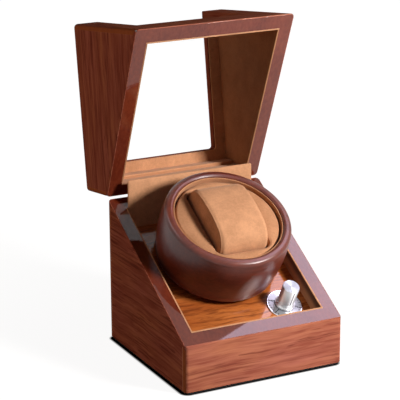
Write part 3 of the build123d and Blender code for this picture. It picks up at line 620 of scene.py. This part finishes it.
leaning = Matrix.Rotation(lean, 4, "X")
drum_place = Matrix.Translation(Vector(joints["drum_spin"]["pos_m"])) @ leaning
foot, heel, shoulder, crest, brink = (49.4, -12.8), (54.4, -5.0), (56.2, 35.6), (52.2, 39.9), (48.3, 38.6)
outline = [foot] + arc_through(foot, (52.8, -10.6), heel, 10) + arc_through(heel, (56.9, 16.0), shoulder, 24)
outline += arc_through(shoulder, (55.1, 38.6), crest, 14) + arc_through(crest, (49.6, 39.8), brink, 10)
outline += [(48.3, 29.0), (44.0, 29.0), (44.0, 10.8), (20.2, 10.8), (20.2, 3.0), (38.0, 3.0), (38.0, -12.8)]
drum_wood, tree = blank_material("drum_wood")
level = node(tree, "Mapping", {"Vector": object_point(tree), "Rotation": (-lean, 0.0, 0.0)}).outputs[0]
lacquered_shader(tree, level, "X", (0.170, 0.031, 0.014), (0.092, 0.015, 0.007), coat_roughness=0.33)
shell = piece("drum_shell_turned", turned(outline), drum_place, drum_wood, "drum", 40)
dress(drum_wood, "drum_shell")
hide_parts("drum_shell")


# Cushion plate: a disc of board padded and wrapped in suede, dropped on the seat inside the drum's
# mouth. Its slot, with round corners, holds the cushion, and the suede rolls down into it.
plate_suede = suede("plate_suede", (0.57, 0.285, 0.145), (0.42, 0.200, 0.096))
dress(plate_suede, "liner_ring", "cushion_plate")
plate_seat, plate_top, plate_radius = 29.0, 36.3, 45.6
slot_half_run, slot_half_across, slot_corner = 37.2, 25.6, 7.0


def slot_reach(angle):
    """How far the slot reaches from the middle at an angle."""
    low, high = 0.0, plate_radius
    for _ in range(40):
        middle = (low + high) / 2
        past_x = max(abs(math.cos(angle)) * middle - (slot_half_across - slot_corner), 0.0)
        past_y = max(abs(math.sin(angle)) * middle - (slot_half_run - slot_corner), 0.0)
        low, high = (middle, high) if math.hypot(past_x, past_y) < slot_corner else (low, middle)
    return low


def plate_section(angle):
    """The padded section of the plate at an angle, round and closed."""
    inside = slot_reach(angle)
    gap = plate_radius - inside
    soft = min(2.3, 0.42 * gap)
    crown = 0.045 * gap
    turns = [math.radians(15 * step) for step in range(7)]
    section = [(0.0, plate_seat)]
    section += [(soft * (1 - math.cos(turn)), plate_top - soft * (1 - math.sin(turn))) for turn in turns]
    section += [(soft + (gap - 2 * soft) * step / 10, plate_top + crown * math.sin(math.pi * step / 10))
                for step in range(1, 10)]
    section += [(gap - soft * (1 - math.sin(turn)), plate_top - soft * (1 - math.cos(turn)))
                for turn in turns]
    section += [(gap, plate_seat), (gap / 2, plate_seat)]
    return [Vector(((inside + out) * math.cos(angle), (inside + out) * math.sin(angle), up)) * MM
            for out, up in section]


plate_steps = 288
bm = bmesh.new()
lofted(bm, [plate_section(math.tau * step / plate_steps) for step in range(plate_steps)], ends="joined")
plate = piece("plate_padding", bm, drum_place, plate_suede, "drum", 55)
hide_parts("cushion_plate")


# Watch cushion: foam in a suede cover of three panels, a band round it and two oval ends. Pressure
# swells each panel between the seams, which stay drawn in and show as dark creases.
seam_across, end_bulge, seam_scale = 21.6, 2.4, 0.955
cushion_up = 33.0
half_run, half_rise = 35.3, 20.2
end_scales = [0.20, 0.36, 0.50, 0.62, 0.73, 0.82, 0.89, 0.94, 0.965]
near_seam = [0.0, 0.03, 0.08, 0.15, 0.24, 0.34, 0.45]
band_shares = near_seam + [0.5] + [1.0 - share for share in reversed(near_seam)]


def oval(scale):
    """The cushion's oval, as points of run and rise: two round ends joined by a flatter top and bottom."""
    steps = 23
    end_radius = 0.92 * half_rise
    flat = half_run - end_radius
    crown_radius = (flat ** 2 + half_rise ** 2 - end_radius ** 2) / (2 * (half_rise - end_radius))
    knee = math.atan2(flat, crown_radius - half_rise)
    arcs = [(0.0, knee, crown_radius, 0.0, half_rise - crown_radius),
            (math.pi / 2, math.pi / 2 - knee, end_radius, flat, 0.0),
            (math.pi, knee, crown_radius, 0.0, crown_radius - half_rise),
            (-math.pi / 2, math.pi / 2 - knee, end_radius, -flat, 0.0)]
    points = []
    for middle_angle, half_angle, radius, run, rise in arcs:
        for step in range(steps):
            angle = middle_angle + half_angle * (2 * step / steps - 1)
            point = Vector((0.0, run + radius * math.sin(angle), rise + radius * math.cos(angle)))
            points.append(point * scale)
    return points


def cushion_ring(across, scale):
    """The oval at a place across the cushion."""
    return [(point + Vector((across, 0.0, cushion_up))) * MM for point in oval(scale)]


cloth_frames = 20


def swollen(obj, held, pressure, reach):
    """Swells a cover with cloth simulation, its seams held, as far as a reach along each axis."""
    before = [vert.co.copy() for vert in obj.data.vertices]
    group = obj.vertex_groups.new(name="seams")
    group.add(held, 1.0, "REPLACE")
    cloth = obj.modifiers.new("cloth", "CLOTH")
    cloth.settings.vertex_group_mass = "seams"
    cloth.settings.use_pressure = True
    cloth.settings.uniform_pressure_force = pressure
    cloth.settings.effector_weights.gravity = 0.0
    cloth.settings.quality = 8
    cloth.collision_settings.use_collision = False
    for moment in range(1, cloth_frames + 1):
        scene.frame_set(moment)
    shaped = obj.evaluated_get(bpy.context.evaluated_depsgraph_get())
    after = [vert.co.copy() for vert in shaped.data.vertices]
    obj.modifiers.remove(cloth)
    obj.vertex_groups.remove(group)
    scene.frame_set(1)
    for vert, start, end in zip(obj.data.vertices, before, after):
        vert.co = start + Vector([max(-limit, min(limit, part)) for limit, part in zip(reach, end - start)])


ends = [(seam_across + end_bulge * math.sqrt(1 - scale ** 2), scale) for scale in end_scales]
rings = [cushion_ring(-across, scale) for across, scale in ends]
rings += [cushion_ring(seam_across * (2 * share - 1), 1.0 if 0 < share < 1 else seam_scale)
          for share in band_shares]
rings += [cushion_ring(across, scale) for across, scale in reversed(ends)]
bm = bmesh.new()
verts = lofted(bm, rings, ends="open")
for ring, side in ((verts[0], -1), (verts[-1], 1)):
    centre = bm.verts.new((side * (seam_across + end_bulge) * MM, 0.0, cushion_up * MM))
    for first, second in zip(ring, ring[1:] + ring[:1]):
        bm.faces.new((centre, first, second))
bm.verts.index_update()
seams = [vert.index for ring in (verts[len(end_scales)], verts[-1 - len(end_scales)]) for vert in ring]
cushion = piece("cushion_cover", bm, upright, tan_suede, "cushion")
air_pressure, swell_reach = 9.0, Vector((1.2, 1.9, 1.9)) * MM
swollen(cushion, seams, air_pressure, swell_reach)
cushion.data.transform(drum_place)
smooth = cushion.modifiers.new("smooth", "SUBSURF")
smooth.levels = smooth.render_levels = 1
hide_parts("watch_cushion")


# Spindle: a turned hub screwed up into the drum, on a steel spindle that runs in two nylon bushes
# and carries the nylon gear. A clip in the spindle's groove and a thrust washer keep its height.
def moulded(name, colour, roughness):
    """Moulded plastic, with the faint unevenness of a worn tool."""
    material, tree = blank_material(name)
    value = noise(tree, object_point(tree), 500.0, 2.0)
    mottled = blend_colours(tree, value, colour, toned(0.86, colour))
    finish(tree, mottled, roughness, value, 0.01 * MM, 0.3)
    return material


aluminium = metal("aluminium", (0.80, 0.81, 0.82), 0.28)
nylon = moulded("nylon", (0.74, 0.71, 0.62), 0.45)
dress(aluminium, "drum_hub")
dress(steel, "hub_screws", "spindle", "spindle_clip", "thrust_washer")
dress(nylon, "spindle_gear", "upper_bush", "lower_bush")


# Drive: a geared motor under a steel plate that hangs from the deck on four spacers, with a
# nylon pinion on its shaft. The gearbox is zinc plated and the can is nickel plated steel.
plated = metal("nickel_plate", (0.70, 0.67, 0.60), 0.22)
dress(steel, "motor_plate", "plate_screws", "motor_gearbox", "motor_shaft")
dress(plated, "motor_can")
dress(aluminium, "plate_spacers")
dress(nylon, "motor_pinion")


# Selector dial: a turned disc on the deck with a polished raised rim round a spun face, engraved
# with a scale of ticks and the numbers of the programmes, filled dark. The rotary switch hangs
# under the deck by its steel nut, in a case of black plastic.
knob_place = Matrix.Translation(Vector(joints["knob_turn"]["pos_m"])) @ leaning
black_plastic = moulded("black_plastic", (0.022, 0.022, 0.024), 0.42)
chrome = metal("chrome", (0.74, 0.75, 0.78), 0.12, 0.02)
dress(chrome, "dial_plate")
spun_face = metal("spun_face", (0.46, 0.47, 0.50), 0.48, 0.04, anisotropic=0.9, map_name="turn")
ink = moulded("engraving", (0.012, 0.011, 0.012), 0.7)
dial_foot, dial_top, dial_radius, dial_neck = -15.0, -13.6, 16.0, 4.6
dial_face, dial_bevel = dial_top - 0.12, 0.45
dial_outline = [(dial_neck, dial_foot), (dial_radius - 0.15, dial_foot), (dial_radius, dial_foot + 0.2),
                (dial_radius, dial_top - dial_bevel), (dial_radius - dial_bevel, dial_top),
                (dial_radius - 0.85, dial_top), (dial_radius - 1.0, dial_face), (dial_neck, dial_face)]
dial = piece("dial_turned", turned(dial_outline, 192), knob_place, chrome, "case", 30)
dial.data.materials.append(spun_face)
for face in dial.data.polygons:
    if (knob_place.inverted() @ face.center).xy.length < (dial_radius - 0.95) * MM:
        face.material_index = 1
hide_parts("dial_plate")

mark_up, tick_turn, tick_end = dial_face + 0.03, 12, 14.8
ticks_apart = 5
number_radius, number_size, number_weight = 10.3, 5.2, 0.12
bm = bmesh.new()
for step in range(-2 * ticks_apart, 2 * ticks_apart + 1):
    angle = math.radians(tick_turn * step - 90)
    out = Vector((math.cos(angle), math.sin(angle), 0.0))
    beside = Vector((-math.sin(angle), math.cos(angle), 0.0))
    half, inner = (0.50, 12.4) if step % ticks_apart == 0 else (0.30, 13.0)
    raised = Vector((0.0, 0.0, mark_up))
    low, high = [[(out * reach + beside * aside + raised) * MM for aside in (-half, half)]
                 for reach in (inner, tick_end)]
    bm.faces.new([bm.verts.new(spot) for spot in (low[0], high[0], high[1], low[1])])
for number in range(5):
    label = bpy.data.curves.new("number", "FONT")
    label.body = str(number)
    label.size = number_size * MM
    label.offset = number_weight * MM
    label.align_x, label.align_y = "CENTER", "CENTER"
    letters = bpy.data.objects.new("number", label)
    scene.collection.objects.link(letters)
    mesh = bpy.data.meshes.new_from_object(letters.evaluated_get(bpy.context.evaluated_depsgraph_get()))
    about = Matrix.Rotation(math.radians(tick_turn * ticks_apart * (number - 2)), 4, "Z")
    mesh.transform(about @ Matrix.Translation((0.0, -number_radius * MM, mark_up * MM)))
    bm.from_mesh(mesh)
    bpy.data.objects.remove(letters)
for face in bm.faces:
    if face.normal.z < 0:
        face.normal_flip()
marks = piece("dial_marks", bm, knob_place, ink, "case")
dress(steel, "selector_nut", "selector_shaft")
dress(black_plastic, "selector_switch")


# Selector knob: a barrel turned from aluminium on a flared foot, pushed on the switch's shaft. The
# lathe's fine rings draw the reflections round, and a black line down its front shows the setting.
spun_knob = metal("spun_knob", (0.90, 0.91, 0.93), 0.44, 0.04, anisotropic=0.9, map_name="turn")
# The knob's top is the same spun metal painted darker, a painted shade that dims the overhead lamp mirrored
# in it.
painted_shade_top_metal = metal("painted_shade_top_metal", (0.42, 0.44, 0.47), 0.46, 0.04, anisotropic=0.9, map_name="turn")
dress(aluminium, "selector_knob")
knob_top, knob_foot = 9.0, -13.0
barrel, flange = 7.4, 8.85
flare_top = (barrel, knob_foot + 4.2)
flare_waist, flare_foot = (7.75, knob_foot + 2.4), (8.8, knob_foot + 1.3)
flare = [flare_top, *arc_through(flare_top, flare_waist, flare_foot, 8), (flange, knob_foot + 1.1)]
knob_outline = [(0.0, knob_top), (6.7, knob_top), (7.15, knob_top - 0.15), (barrel, knob_top - 0.6), *flare]
knob_outline += [(flange, knob_foot + 0.15), (8.7, knob_foot), (7.6, knob_foot), (7.6, -8.9), (3.0, -8.9),
                 (3.0, 4.0), (0.0, 4.0)]
knob = piece("knob_turned", turned(knob_outline, 128), knob_place, spun_knob, "knob", 30)
knob.data.materials.append(painted_shade_top_metal)
for face in knob.data.polygons:
    if (knob_place.inverted() @ face.center).z > (knob_top - 0.1) * MM:
        face.material_index = 1
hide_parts("selector_knob")

line_half, line_thick = 0.42, 0.05
bm = bmesh.new()
line_path = [(barrel, knob_top - 0.7), *flare, (flange, knob_foot + 0.3)]
rows = [[bm.verts.new(Vector((aside, -math.sqrt((reach + line_thick) ** 2 - aside ** 2), up)) * MM)
         for aside in (-line_half, line_half)] for reach, up in line_path]
for low, high in zip(rows, rows[1:]):
    bm.faces.new((low[0], low[1], high[1], high[0]))
index_line = piece("knob_index", bm, knob_place, ink, "knob")


# Electrics: the inlet in the back wall, and a green board on nylon standoffs that carries a chip, two
# capacitors and sockets, all dark. Leads in black sleeve run to it from the inlet, motor and switch.
board_material, tree = blank_material("circuit_board")
place = object_point(tree)
height = node(tree, "SeparateXYZ", {0: place}).outputs[2]
mask_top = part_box("control_board")[0][2] + 1.65 * MM
above = math_node(tree, "GREATER_THAN", height, mask_top)
drawn = node(tree, "Mapping", {"Vector": place, "Scale": (1.0, 0.12, 1.0)}).outputs[0]
traces = noise(tree, drawn, 900.0, 1.0)
mask = blend_colours(tree, spread(tree, traces, 0.49, 0.52), (0.006, 0.075, 0.030), (0.010, 0.120, 0.048))
finish(tree, blend_colours(tree, above, mask, (0.045, 0.045, 0.050)), 0.35)
dress(board_material, "control_board")
dress(black_plastic, "dc_jack", "board_leads")
dress(nylon, "board_standoffs")
